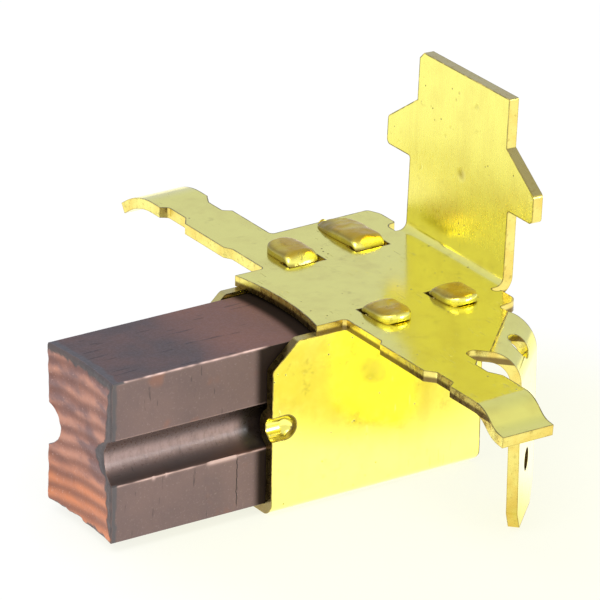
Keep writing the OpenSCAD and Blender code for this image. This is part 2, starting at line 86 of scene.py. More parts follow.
LOOKED_AT = (-0.003341, 0, 0.01344)  # point that the camera looks at
SMOOTH_BELOW = math.radians(32)  # bends in the sheet that are shaded smooth


# ---- numbers drawn by formula ----
def lattice(ix, iy, iz, seed):
    """Even numbers in 0..1 for whole-number grid points: the fraction of a large sine of their weighted sum."""
    v = np.sin(ix * 127.1 + iy * 311.7 + iz * 74.7 + seed * 53.3) * 43758.5453
    return v - np.floor(v)


def noise(p, size, seed=0):
    """Smooth noise in -1..1 at points p: lattice values blended by 3t^2 - 2t^3 between grid points `size` apart."""
    q = p / size
    i = np.floor(q)
    f = q - i
    f = f * f * (3 - 2 * f)
    total = 0
    for dx in (0, 1):
        for dy in (0, 1):
            for dz in (0, 1):
                w = np.abs(1 - dx - f[..., 0]) * np.abs(1 - dy - f[..., 1]) * np.abs(1 - dz - f[..., 2])
                total = total + w * lattice(i[..., 0] + dx, i[..., 1] + dy, i[..., 2] + dz, seed)
    return total * 2 - 1


def step(a, b, v):
    """Rises smoothly from 0 at a to 1 at b."""
    t = np.clip((v - a) / (b - a), 0, 1)
    return t * t * (3 - 2 * t)


# ---- meshes ----
@contextmanager
def edited(mesh):
    """Opens a mesh for changes and writes them back."""
    b = bmesh.new()
    b.from_mesh(mesh)
    yield b
    b.to_mesh(mesh)
    b.free()


def placed(name, mesh):
    """A new object in the scene, at the origin."""
    obj = bpy.data.objects.new(name, mesh)
    bpy.context.scene.collection.objects.link(obj)
    bpy.context.view_layer.update()
    return obj


def sleeve_faces(rows, cols, start=0):
    """Faces of a grid of rows x cols corners that closes round its columns."""
    r = np.arange(rows - 1)[:, None]
    c = np.arange(cols)[None, :]
    n = (c + 1) % cols
    quads = np.stack([r * cols + c, r * cols + n, (r + 1) * cols + n, (r + 1) * cols + c], -1)
    return quads.reshape(-1, 4) + start


def capped(grid, start=0):
    """Corners and outward faces of a sleeve closed at both ends by a fan to the middle of its end ring. The rows
    run so that the columns turn clockwise seen from the first row."""
    rows, cols = grid.shape[:2]
    ends = np.stack([grid[0].mean(0), grid[-1].mean(0)])
    verts = np.concatenate([grid.reshape(-1, 3), ends])
    c = np.arange(cols)
    n = (c + 1) % cols
    faces = sleeve_faces(rows, cols)[:, ::-1].tolist()
    faces += np.stack([n, c, np.full(cols, rows * cols)], -1).tolist()
    last = (rows - 1) * cols
    faces += np.stack([c + last, n + last, np.full(cols, rows * cols + 1)], -1).tolist()
    return verts, [[i + start for i in face] for face in faces]


def new_piece(name, verts, faces, body, node, material, sharp=35):
    """A finished piece that rides on a body and stands for a CAD node."""
    mesh = bpy.data.meshes.new(name)
    mesh.from_pydata(verts.tolist(), [], faces)
    mesh.update()
    with edited(mesh) as b:
        bmesh.ops.recalc_face_normals(b, faces=b.faces)
    mesh.polygons.foreach_set("use_smooth", np.ones(len(mesh.polygons), bool))
    mesh.set_sharp_from_angle(angle=math.radians(sharp))
    obj = placed(name, mesh)
    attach(obj, body)
    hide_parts(node)
    dress(obj, material)
    return obj


def tube(path, across, out, radius, sides):
    """Rings of `sides` corners round a path: middle + radius * (cos a * out + sin a * across)."""
    a = np.linspace(0, 2 * np.pi, sides, endpoint=False)[None, :, None]
    return path[:, None] + radius * (np.cos(a) * out[:, None] + np.sin(a) * across[:, None])


def brick_profile(width, height, edge, groove_r, groove_d, pitch):
    """Outline of the carbon across its length, anticlockwise seen from the rear. A rectangle whose corners are
    quarter circles of radius `edge`; each side dips along a circle of radius groove_r whose middle stands outside
    the side by groove_r - groove_d. Corners are `pitch` apart, with one more just beside each bend."""
    half_w, half_h = width / 2, height / 2
    lines = []
    beside = 0.03 * MM

    def line(a, b):
        length = math.dist(a, b)
        n = max(2, int(round(length / pitch)))
        between = np.linspace(0, 1, n, endpoint=False)[1:]
        t = np.concatenate([[0, beside / length], between, [1 - beside / length]])
        lines.append(np.array(a) * (1 - t[:, None]) + np.array(b) * t[:, None])

    def arc(cy, cz, r, a0, a1):
        n = max(4, int(round(abs(a1 - a0) * r / pitch)))
        t = np.linspace(a0, a1, n, endpoint=False)
        lines.append(np.stack([cy + r * np.cos(t), cz + r * np.sin(t)], -1))

    out = groove_r - groove_d
    lip = math.acos(out / groove_r)
    reach = groove_r * math.sin(lip)
    quarter = math.pi / 2
    line((half_w, -half_h + edge), (half_w, -reach))
    arc(half_w + out, 0, groove_r, math.pi + lip, math.pi - lip)
    line((half_w, reach), (half_w, half_h - edge))
    arc(half_w - edge, half_h - edge, edge, 0, quarter)
    line((half_w - edge, half_h), (-half_w + edge, half_h))
    arc(-half_w + edge, half_h - edge, edge, quarter, 2 * quarter)
    line((-half_w, half_h - edge), (-half_w, reach))
    arc(-half_w - out, 0, groove_r, lip, -lip)
    line((-half_w, -reach), (-half_w, -half_h + edge))
    arc(-half_w + edge, -half_h + edge, edge, 2 * quarter, 3 * quarter)
    line((-half_w + edge, -half_h), (half_w - edge, -half_h))
    arc(half_w - edge, -half_h + edge, edge, 3 * quarter, 4 * quarter)
    return np.concatenate(lines), reach


# ---- materials ----
class Graph:
    """Short calls for adding and joining the nodes of one node tree."""

    def __init__(self, tree):
        self.tree = tree

    def add(self, kind, given=None, **settings):
        """Adds a node with its settings. `given` holds what goes into its inputs, by name or number."""
        node = self.tree.nodes.new(kind)
        for key, value in settings.items():
            setattr(node, key, value)
        for key, value in (given or {}).items():
            self.put(value, node.inputs[key])
        return node

    def put(self, value, socket):
        if isinstance(value, bpy.types.NodeSocket):
            self.tree.links.new(value, socket)
        elif value is not None:
            socket.default_value = value

    def level(self, value, low, high, a=0.0, b=1.0):
        """Goes smoothly from a, where value is low, to b, where it is high."""
        given = {"Value": value, "From Min": low, "From Max": high, "To Min": a, "To Max": b}
        return self.add("ShaderNodeMapRange", given, interpolation_type="SMOOTHSTEP").outputs["Result"]

    def math(self, kind, a, b=None):
        return self.add("ShaderNodeMath", {0: a, 1: b}, operation=kind).outputs[0]

    def vector(self, kind, a, b):
        return self.add("ShaderNodeVectorMath", {0: a, 1: b}, operation=kind).outputs["Value"]

    def times(self, *shares):
        total = shares[0]
        for share in shares[1:]:
            total = self.math("MULTIPLY", total, share)
        return total

    def blend(self, share, a, b):
        """Goes from colour a to colour b as share goes from 0 to 1."""
        return self.add("ShaderNodeMix", {0: share, 6: tint(a), 7: tint(b)}, data_type="RGBA").outputs[2]

    def coats(self, base, *coats):
        """Lays colours over a base one after another, each by the product of its shares."""
        for colour, *shares in coats:
            base = self.blend(self.times(*shares), base, colour)
        return base


class Nodes(Graph):
    """Short calls for building a material on its own."""

    def __init__(self, name):
        self.material = bpy.data.materials.new(name)
        self.material.use_nodes = True
        super().__init__(self.material.node_tree)
        self.shader = self.tree.nodes["Principled BSDF"]
        self.coord = self.add("ShaderNodeTexCoord").outputs["Object"]

    def noise(self, scale, detail=3.0, rough=0.55, stretch=(1, 1, 1), at=(0, 0, 0), turn=(0, 0, 0)):
        given = {"Vector": self.coord, "Scale": stretch, "Location": at, "Rotation": turn}
        place = self.add("ShaderNodeMapping", given).outputs[0]
        given = {"Vector": place, "Scale": scale, "Detail": detail, "Roughness": rough}
        return self.add("ShaderNodeTexNoise", given).outputs["Fac"]

    def cells(self, scale):
        return self.add("ShaderNodeTexVoronoi", {"Vector": self.coord, "Scale": scale}).outputs["Distance"]

    def part(self, vector, which):
        return self.add("ShaderNodeSeparateXYZ", {0: vector}).outputs[which]

    def along(self, which, *levels):
        """A level by the place along an axis."""
        return self.level(self.part(self.coord, which), *levels)

    def facing(self, which, *levels):
        """A level by how far a face looks along an axis."""
        return self.level(self.part(self.add("ShaderNodeNewGeometry").outputs["Normal"], which), *levels)

    def away(self, place, *levels):
        """A level by the distance from a point."""
        return self.level(self.vector("DISTANCE", self.coord, place), *levels)

    def rounded(self, radius):
        """Normal that is rounded over edges by `radius`."""
        return self.add("ShaderNodeBevel", {"Radius": radius}, samples=6).outputs[0]

    def edges(self, radius):
        """Share that rises toward the edges of a piece: where a normal rounded over `radius` leaves the true one."""
        true = self.add("ShaderNodeNewGeometry").outputs["Normal"]
        return self.level(self.vector("DOT_PRODUCT", self.rounded(radius), true), 0.80, 0.985, 1.0, 0.0)

    def own(self, name):
        return self.add("ShaderNodeAttribute", attribute_name=name).outputs["Fac"]

    def bump(self, height, distance, over=None):
        given = {"Height": height, "Distance": distance, "Normal": over}
        return self.add("ShaderNodeBump", given).outputs["Normal"]

    def set(self, name, value):
        self.put(value, self.shader.inputs[name])

    def metal(self, colour, roughness, normal=None):
        for name, value in (("Base Color", colour), ("Metallic", 1.0), ("Roughness", roughness), ("Normal", normal)):
            self.set(name, value)
        return self.material


def tint(colour):
    """A colour as a node takes it; what comes from another node stays."""
    return colour if isinstance(colour, bpy.types.NodeSocket) else (*colour, 1.0)


def brass_material(name, look, colour, seed, dents=()):
    """Bright rolled brass: a mirror with faint waves, fine grain along the roll, tarnish in stains, a painted dark
    reflection along its edges, small brown pits and a few dents drawn darker with painted shade. It is duller on the
    upright, above the plate."""
    m = Nodes(name)
    waves = m.noise(240, 1.0, 0.4, at=(seed, 0, 0))
    grain = m.noise(1500, 4.0, 0.6, stretch=(1, 6, 1), at=(0, seed, 0))
    fine = m.noise(9000, 2.0, 0.5)
    cloud = m.noise(420, 3.0, 0.6, at=(seed, seed, 0))
    bands = m.noise(420, 3.0, 0.6, stretch=(1, 1, 0.16), at=(seed, 0, seed))
    stain = m.level(m.noise(700, 4.0, 0.65, at=(0, seed, seed)), 0.60, 0.74)
    pits = m.level(m.cells(1500), 0.05, 0.14, 1.0, 0.0)
    pit = m.times(pits, m.level(m.noise(640, 0.0, 0.5, at=(0, 0, seed)), 0.60, 0.66))
    scratch = m.times(
        m.level(m.noise(900, 0.0, 0.4, stretch=(9, 0.8, 0.8), at=(seed, 0, 0), turn=(0, 0, 0.5)), 0.74, 0.80),
        m.level(m.noise(300, 0.0, 0.5, at=(seed, 3, 0)), 0.5, 0.6),
    )
    # painted dark reflection along the edges of the sheet, broken by ragged
    line = m.edges(look.outline)
    ragged = m.level(m.noise(1300, 3.0, 0.6, at=(0, 0, seed + 2)), 0.30, 0.60, 0.35, 1.0)
    base = m.coats(
        colour,
        (look.tarnish_pale, m.level(cloud, 0.4, 0.8), 0.5),
        (look.tarnish_pale, m.level(bands, 0.52, 0.75), look.streaks),
        (look.tarnish_and_shade, stain, 0.22),
        (look.tarnish_and_shade, line, ragged, 0.85),
        (look.pit, m.math("MAXIMUM", m.times(pit, 0.9), m.times(scratch, 0.2))),
    )
    normal = m.rounded(look.edge)
    for place, radius, depth in dents:
        mark = m.away(place, 0.1 * radius, radius, 1.0, 0.0)
        normal = m.bump(m.times(mark, -1.0), depth, over=normal)
        # painted shade: each dent is also drawn darker
        base = m.coats(base, (look.tarnish_and_shade, mark, m.level(cloud, 0.2, 0.6), 0.75))
    rough = m.level(grain, 0.3, 0.75, look.roughness * 0.7, look.roughness * 1.4)
    rough = m.math("ADD", rough, m.along(2, PLATE_TOP + 0.8 * MM, PLATE_TOP + 2.5 * MM, 0.0, 0.14))
    rough = m.math("ADD", rough, m.times(m.math("MAXIMUM", pit, line), 0.2))
    for height, depth in ((waves, look.wave), (grain, 0.0024 * MM), (fine, 0.0006 * MM)):
        normal = m.bump(height, depth, over=normal)
    normal = m.bump(m.times(m.math("MAXIMUM", pit, scratch), -1.0), 0.02 * MM, over=normal)
    return m.metal(base, rough, normal)


def rim_material(look):
    """The narrow dark strip along the cut edges, broken here and there: a painted dark reflection."""
    m = Nodes("rim_brass")
    broken = m.level(m.noise(1300, 3.0, 0.6), 0.30, 0.55, 0.25, 1.0)
    return m.metal(m.blend(broken, look.cut_warm, look.rim_tint), 0.3)


def tab_material(look):
    """The pressed tabs: browned and dimpled brass on top, bright where the sheet turns, with painted shade on the
    sides that face the front, at the foot on the plate and under the drawn-out corner."""
    m = Nodes("tab_brass")
    dimples = m.noise(1500, 3.0, 0.6)
    cloud = m.noise(620, 2.0, 0.5, at=(0.4, 0, 0))
    base = m.coats(
        look.box,
        (look.tab, m.facing(2, 0.55, 0.93), m.level(cloud, 0.25, 0.6, 0.6, 1.0)),
        (look.tarnish_and_shade, m.level(dimples, 0.55, 0.75), 0.6),
        # painted shade on the tab faces that look toward the front
        (look.tarnish_and_shade, m.facing(0, -0.1, -0.6), m.facing(1, -0.35, 0.0), 0.8),
        # painted shade under the drawn-out corner of the left rear tab
        (look.tarnish_and_shade, m.away(DRAWN_CORNER, 0.7 * MM, 1.6 * MM, 1.0, 0.0), 0.75),
        # painted shade at the tab's foot, where it lies on the plate
        (look.tarnish_and_shade, m.along(2, PLATE_TOP + 0.22 * MM, PLATE_TOP + 0.02 * MM), 0.8),
    )
    normal = m.bump(dimples, 0.03 * MM, over=m.bump(cloud, 0.12 * MM))
    return m.metal(base, m.level(dimples, 0.3, 0.7, 0.14, 0.3), normal)


def cut_material(name, look, seed, front=0.0, under=0.0, dark=()):
    """The cut edges of the sheet: sheared and torn brass, with painted shade on the upward faces, on the faces that
    look toward -y and a painted dark reflection along their edges. `front` paints a dark reflection on the near
    edges that look to the front, `under` paints shadow on the lower half of the plate's edges, and `dark` lists
    places with a radius that get painted shade all over."""
    m = Nodes(name)
    tear = m.noise(2600, 4.0, 0.6, at=(seed, 0, 0))
    coarse = m.noise(700, 2.0, 0.5, at=(0, seed, 0))
    shadow = m.times(
        m.along(2, PLATE_UNDER + 0.50 * MM, PLATE_UNDER + 0.28 * MM),
        m.along(2, PLATE_UNDER - 0.1 * MM, PLATE_UNDER - 0.05 * MM),
        m.along(1, 5.3 * MM, 5.1 * MM),
    )
    base = m.coats(
        m.blend(m.level(coarse, 0.35, 0.7), look.cut, look.cut_warm),
        # painted shade: upward cut faces are drawn duller
        (look.cut_dull, m.facing(2, 0.45, 0.8), 0.85),
        (look.tarnish_and_shade, m.level(tear, 0.56, 0.72), 0.5),
        # painted shade on cut faces that look toward -y
        (look.tarnish_and_shade, m.facing(1, -0.3, -0.7), 0.45),
        # painted dark reflection on the near cut edges that look to the front
        (look.pit, m.facing(0, -0.3, -0.7), m.along(1, MM, -MM), front),
        (look.pit, shadow, under),
    )
    # painted shade inside the listed places, such as the blade's hole
    for place, radius in dark:
        base = m.coats(base, (look.pit, m.away(place, radius, radius * 1.3, 1.0, 0.0), 0.9))
    # painted dark reflection along the edges
    base = m.coats(base, (look.tarnish_and_shade, m.edges(look.outline), 0.8))
    normal = m.bump(tear, 0.012 * MM, over=m.bump(coarse, 0.05 * MM))
    return m.metal(base, m.level(tear, 0.3, 0.7, 0.22, 0.4), normal)


def carbon_material(look):
    """Copper graphite: grey brown, satin, with fine grain; coppery bands and a dark broken border on the worn
    contact face, bright lips along the near edges that are partly chipped copper and partly painted highlight, a
    glossy groove with a painted highlight band and painted shade, painted shade on the upper side, at the mouth and
    under the plate's edge, and one hairline crack."""
    m = Nodes("copper_graphite")
    grain = m.noise(5200, 5.0, 0.65)
    patch = m.noise(300, 3.0, 0.55)
    streak = m.noise(1500, 4.0, 0.6, stretch=(1.6, 1.6, 0.25))
    marks = m.noise(1100, 2.0, 0.5, stretch=(3.5, 1, 0.6), at=(0.2, 0, 0))
    rust = m.noise(420, 2.0, 0.5, at=(0, 0.7, 0))
    scuff = m.noise(800, 1.0, 0.4, stretch=(0.5, 4, 1), at=(0.1, 0, 0), turn=(0, 0, 0.3))
    top = m.facing(2, 0.5, 0.9)
    # painted shade: the carbon's sides are drawn near black in the last millimetre before the box mouth, where the
    # carbon enters the box
    mouth_shade = m.times(m.along(0, MOUTH_X - 1.15 * MM, MOUTH_X - 0.35 * MM), m.facing(2, 0.3, 0.6, 1.0, 0.0))
    # painted shadow: a strip of the carbon's top under the plate's hollow front edge is drawn near black
    hollow_middle = (MOUTH_X + TONGUE_HOLLOW - TONGUE_R, 0.0, CARBON_HI[2])
    plate_shadow = m.times(m.away(hollow_middle, TONGUE_R - 1.5 * MM, TONGUE_R - 0.65 * MM), top)
    wander = m.times(m.math("SUBTRACT", m.noise(1500, 2.0, 0.6, stretch=(0, 0, 1)), 0.5), 0.5 * MM)
    off_crack = m.math("SUBTRACT", m.math("ADD", m.part(m.coord, 0), wander), MOUTH_X - 2.35 * MM)
    crack = m.times(
        m.level(m.math("ABSOLUTE", off_crack), 0.015 * MM, 0.045 * MM, 1.0, 0.0),
        m.along(2, CARBON_LO[2] + 0.3 * MM, CARBON_LO[2] + 0.7 * MM),
        m.along(2, CARBON_LO[2] + 4.0 * MM, CARBON_LO[2] + 4.5 * MM, 1.0, 0.0),
        m.facing(1, -0.8, -0.5, 1.0, 0.0),
    )
    groove, hollow = m.own("groove"), m.own("hollow")
    # wear breaks the painted groove highlight into streaks
    wear = m.level(m.noise(2200, 3.0, 0.6, stretch=(1, 0.3, 0.3)), 0.1, 0.6)
    deep = m.along(0, MOUTH_X - 4.0 * MM, MOUTH_X - 1.0 * MM, 0.55, 0.95)
    # painted highlight: a pale band along the middle of each groove stands for reflected light
    painted_groove_highlight = m.times(groove, m.level(hollow, -0.70, -0.15), m.level(hollow, 0.30, -0.12))
    side = m.coats(
        look.body,
        (look.shade, m.level(patch, 0.3, 0.72), 0.5),
        (look.pale, m.level(grain, 0.54, 0.72), 0.34),
        (look.shade, m.level(streak, 0.55, 0.80), 0.25),
        (look.soot_and_shade, m.level(marks, 0.67, 0.75), 0.45),
        (look.rust, m.level(rust, 0.62, 0.76), 0.5),
        # painted shade: the upper side is drawn darker than the sides, in place of the weaker light that falls on it
        (m.blend(m.level(patch, 0.35, 0.65), look.top, look.top_cool), top, 0.9),
        (look.rust, m.along(0, MOUTH_X - 5.5 * MM, MOUTH_X - 0.8 * MM), top, 0.35),
        (look.soot_and_shade, mouth_shade, 0.93),
        (look.soot_and_shade, plate_shadow, 0.97),
        (look.soot_and_shade, m.level(scuff, 0.68, 0.73), top, 0.5),
        (look.soot_and_shade, crack, 0.9),
        # painted shade in the grooves: the upper half is drawn dark, more so toward the mouth, and the lower lip is
        # drawn darker
        (look.soot_and_shade, groove, m.level(hollow, -0.05, 0.65), deep),
        (look.soot_and_shade, groove, m.level(hollow, -0.35, -0.85), 0.6),
        (look.groove, painted_groove_highlight, wear, 0.6),
        # painted shade: the grooves are drawn near black in the last 2 mm before the mouth
        (look.soot_and_shade, groove, m.along(0, MOUTH_X - 1.9 * MM, MOUTH_X - 0.9 * MM), 0.95),
        # bright lips: painted highlight along the edges, mixed with bright chipped copper
        (look.bright, m.own("lip"), 0.9),
        (look.border, m.own("rim"), 0.85),
    )

    low = m.along(2, AXIS_Z - 1.0 * MM, AXIS_Z - 4.0 * MM)
    dirt = m.level(m.noise(420, 3.0, 0.55, stretch=(1, 0.55, 1.3), at=(0.3, 0, 0)), 0.42, 0.62)
    face = m.coats(
        m.blend(low, look.copper, look.copper_low),
        (look.glaze, dirt, m.math("SUBTRACT", 1.0, m.times(low, 0.7)), 0.85),
        (look.valley, m.math("SUBTRACT", 1.0, m.own("crest")), 0.72),
        (look.bright, m.level(grain, 0.55, 0.75), 0.35),
        (look.shade, m.level(grain, 0.25, 0.42, 1.0, 0.0), 0.35),
        (look.border, m.own("border"), 0.92),
    )

    on_face = m.own("face")
    rough = m.level(grain, 0.3, 0.7, look.roughness * 0.85, look.roughness * 1.25)
    rough = m.math("SUBTRACT", rough, m.times(groove, 0.12))
    # the painted shadow under the plate is also made rough
    rough = m.math("ADD", rough, m.times(plate_shadow, 0.55))
    rough = m.math("ADD", rough, m.times(m.math("MAXIMUM", on_face, top), 0.1))
    normal = m.bump(grain, 0.010 * MM, over=m.bump(streak, 0.006 * MM))
    m.set("Base Color", m.blend(on_face, side, face))
    m.set("Metallic", m.times(on_face, 0.3))
    m.set("Roughness", rough)
    m.set("Specular IOR Level", 0.4)
    # painted shade: the reflection is dimmed too at the mouth and under the plate
    m.set("Specular Tint", m.blend(m.math("MAXIMUM", plate_shadow, mouth_shade), (1, 1, 1), (0.08, 0.07, 0.06)))
    m.set("Normal", m.bump(m.times(crack, -1.0), 0.05 * MM, over=normal))
    return m.material


def plain_metal(name, colour, roughness, scale):
    """Drawn metal wire: even colour with fine lines."""
    m = Nodes(name)
    lines = m.noise(scale, 3.0, 0.6)
    base = m.blend(m.level(lines, 0.35, 0.7), colour, tuple(c * 0.6 for c in colour))
    rough = m.level(lines, 0.3, 0.7, roughness * 0.8, roughness * 1.3)
    return m.metal(base, rough, m.bump(lines, 0.004 * MM))


def dress(obj, *materials):
    obj.data.materials.clear()
    for material in materials:
        obj.data.materials.append(material)


# ---- what a user may change ----
def colour_prop(name, about, value):
    return FloatVectorProperty(name=name, description=about, subtype="COLOR", size=3, default=value, min=0, max=1)


def length_prop(name, about, value, low=0.0, high=0.1):
    return FloatProperty(name=name, description=about, default=value, min=low, max=high, unit="LENGTH", precision=5)


def share_prop(name, about, value):
    return FloatProperty(name=name, description=about, default=value, min=0, max=1)


def angle_prop(name, about, degrees):
    return FloatProperty(name=name, description=about, default=math.radians(degrees), subtype="ANGLE")


class BrassLook(bpy.types.PropertyGroup):
    box: colour_prop("Box brass", "Colour of the folded box", (0.97, 0.92, 0.20))
    plate: colour_prop("Plate brass", "Colour of the terminal plate", (0.95, 0.885, 0.205))
    tarnish_pale: colour_prop("Pale tarnish", "Colour of the duller clouds", (0.80, 0.70, 0.16))
    # tarnish_and_shade colours real stains and tarnish, and also painted shade: dark edges, dents, tab sides and
    # feet, the drawn-out corner and cut faces
    tarnish_and_shade: colour_prop("Tarnish", "Colour along the edges and in stains", (0.30, 0.22, 0.05))
    # pit colours real pits and scratches, and also painted shade and dark reflection on the cut edges
    pit: colour_prop("Pits", "Colour of pits and scratches", (0.14, 0.09, 0.03))
    tab: colour_prop("Tab tops", "Browned tops of the tabs", (0.60, 0.39, 0.025))
    # rim_tint colours the painted dark reflection along the cut edges
    rim_tint: colour_prop("Rim tint", "Colour of the dark strip along the cut edges", (0.26, 0.22, 0.07))
    cut: colour_prop("Cut edge", "Colour of the sheared edges", (0.95, 0.86, 0.24))
    cut_warm: colour_prop("Warm cut edge", "Colour of the torn part of those edges", (0.90, 0.70, 0.16))
    cut_dull: colour_prop("Dull cut edge", "Colour of the upward cut edges", (0.50, 0.42, 0.16))
    roughness: share_prop("Roughness", "Dullness of the rolled sheet", 0.15)
    streaks: share_prop("Streaks", "Strength of the upright bands", 0.5)
    wave: length_prop("Waves", "Depth of the waves in the sheet", 0.012 * MM)
    edge: length_prop("Edge", "Rounding of the cut edges", 0.15 * MM)
    rim: length_prop("Rim", "Width of the dark strip along the cut edges", 0.085 * MM)
    # outline: width of the painted dark reflection along the edges
    outline: length_prop("Edge tarnish", "Width of the tarnish along the edges", 0.17 * MM)


class CarbonLook(bpy.types.PropertyGroup):
    body: colour_prop("Carbon", "Main colour of the carbon", (0.162, 0.100, 0.083))
    shade: colour_prop("Shade", "Dark patches of the carbon", (0.10, 0.066, 0.060))
    pale: colour_prop("Pale grain", "Pale grain of the carbon", (0.34, 0.25, 0.22))
    top: colour_prop("Top", "Colour of the upper side", (0.080, 0.045, 0.036))
    top_cool: colour_prop("Top, cool", "Bluish patches of the upper side", (0.055, 0.040, 0.036))
    # soot_and_shade colours real marks, scuffs and the crack, and also the painted shade at the mouth, under the
    # plate and in the grooves
    soot_and_shade: colour_prop("Soot", "Grime at the mouth, marks and the crack", (0.012, 0.008, 0.005))
    # groove colours the painted highlight band along the middle of the grooves
    groove: colour_prop("Groove sheen", "Polished band along the grooves", (0.55, 0.38, 0.34))
    rust: colour_prop("Rust", "Reddish stains", (0.26, 0.10, 0.05))
    # bright also colours the painted highlight along the carbon's lips, together with chipped copper
    bright: colour_prop("Bright copper", "Freshly broken edges and grain", (0.80, 0.55, 0.46))
    copper: colour_prop("Copper", "Crests of the contact face", (0.49, 0.235, 0.16))
    copper_low: colour_prop("Copper, low", "Crests low on the contact face", (0.62, 0.225, 0.10))
    glaze: colour_prop("Glaze", "Purple glaze on the contact face", (0.17, 0.105, 0.105))
    valley: colour_prop("Valley", "Between the crests", (0.17, 0.070, 0.050))
    border: colour_prop("Border", "Dark broken border of the contact face", (0.070, 0.066, 0.066))
    roughness: share_prop("Roughness", "Dullness of the carbon", 0.42)
    pitch: length_prop("Mesh pitch", "Spacing of the carbon's mesh", 0.11 * MM, 0.05 * MM, 0.5 * MM)
    edge: length_prop("Long edges", "Rounding of the long edges", 0.1 * MM)
    groove_r: length_prop("Groove radius", "Radius of the side grooves", 1.8 * MM)
    groove_d: length_prop("Groove depth", "Depth of the side grooves", 1.3 * MM)
    groove_end: length_prop("Groove end", "Where the grooves end, from the mouth", 2.66 * MM)
    ridges: IntProperty(name="Ridges", description="Ridges worn across the contact face", default=10, min=1, max=20)
    ridge_depth: length_prop("Ridge depth", "Depth of those ridges", 0.09 * MM)
    tilt: angle_prop("Ridge tilt", "Slope of the ridges", 6)
    commutator: length_prop("Commutator radius", "Radius that has worn the contact face", 28 * MM)
    bore: length_prop("Bore", "Radius of the bore for the lead", 1.2 * MM)
    bore_depth: length_prop("Bore depth", "Depth of that bore", 4.2 * MM)


class StageLook(bpy.types.PropertyGroup):
    turn: angle_prop("Turn", "Direction of view, round from +Y", 33.777)
    rise: angle_prop("Rise", "Height of the view above level", 23.382)
    roll: angle_prop("Roll", "Roll of the camera", -1.007)
    distance: FloatProperty(name="Distance", description="Camera distance", default=0.433045, unit="LENGTH")
    lens: FloatProperty(name="Lens", description="Focal length in millimetres", default=371.6, min=20, max=1000)
    far_sky: colour_prop("Far room", "Light from behind the holder", (0.675, 0.715, 0.95))
    near_sky: colour_prop("Near room", "Light from the viewer's side", (1.0, 1.0, 1.0))


